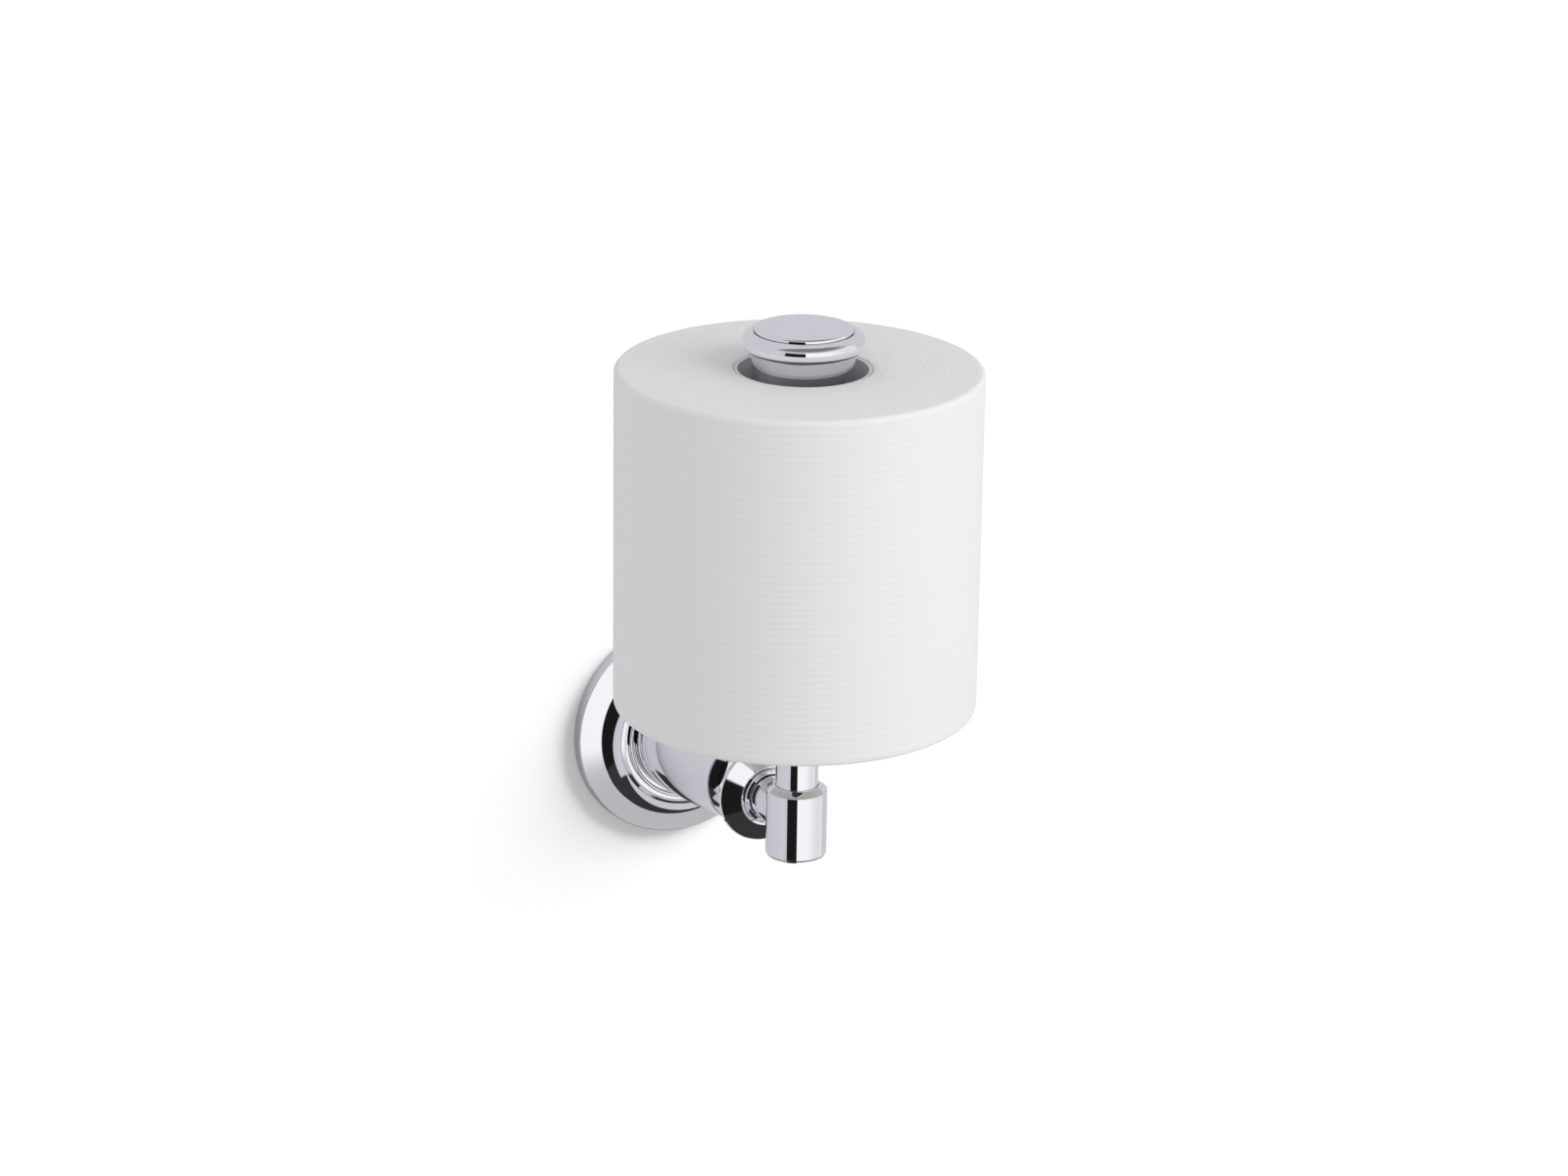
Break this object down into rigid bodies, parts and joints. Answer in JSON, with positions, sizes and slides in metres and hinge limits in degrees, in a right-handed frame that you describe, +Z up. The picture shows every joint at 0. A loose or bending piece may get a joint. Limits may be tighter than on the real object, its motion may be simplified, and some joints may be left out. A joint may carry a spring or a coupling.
{
  "type": "toilet paper holder",
  "caption": "Wall-mounted chrome toilet paper holder with a round flange, short arm and vertical post that a paper roll stands on.",
  "frame": {"origin": "where the arm's axis meets the wall, on the back face of the wall bracket", "axes": "+Y into the wall, so the arm runs along -Y; +Z up along the post; +X to the right when facing the wall"},
  "size_m": [0.1142, 0.1756, 0.1988],
  "materials": {
    "chrome": "bright polished chrome plate",
    "steel": "plain zinc plated steel",
    "brass": "plain machined brass",
    "nylon": "moulded satin plastic",
    "core_board": "spiral wound grey board",
    "tissue": "soft white ribbed tissue"
  },
  "bodies": {
    "holder": {"wall_bracket": "steel", "wall_screw_left": "steel", "wall_screw_right": "steel", "wall_flange": "chrome", "flange_set_screw": "steel", "bead_ring": "chrome", "arm_barrel": "chrome", "flare_cup": "chrome", "stub_collar": "chrome", "stub_arm": "chrome", "tie_rod": "steel", "tie_washer": "steel", "tie_nut": "brass", "post_socket": "chrome", "socket_base": "chrome", "post_washer": "steel", "post_screw": "steel", "post": "chrome", "seat_collar": "chrome", "collar_set_screw": "steel", "glide_washer": "nylon", "core_guide": "chrome", "cap_ring": "chrome", "cap_screw": "steel", "cap_disc": "chrome"},
    "seat": {"roll_seat": "nylon"},
    "roll": {"core_tube": "core_board", "paper_roll": "tissue"}
  },
  "joints": [
    {"name": "seat_spin", "type": "hinge", "parent": "holder", "child": "seat", "pos_m": [0, -0.091, 0.0387], "axis": [0, 0, 1], "continuous": true},
    {"name": "roll_lift", "type": "slide", "parent": "seat", "child": "roll", "axis": [0, 0, 1], "range_m": [0, 0.13]}
  ]
}
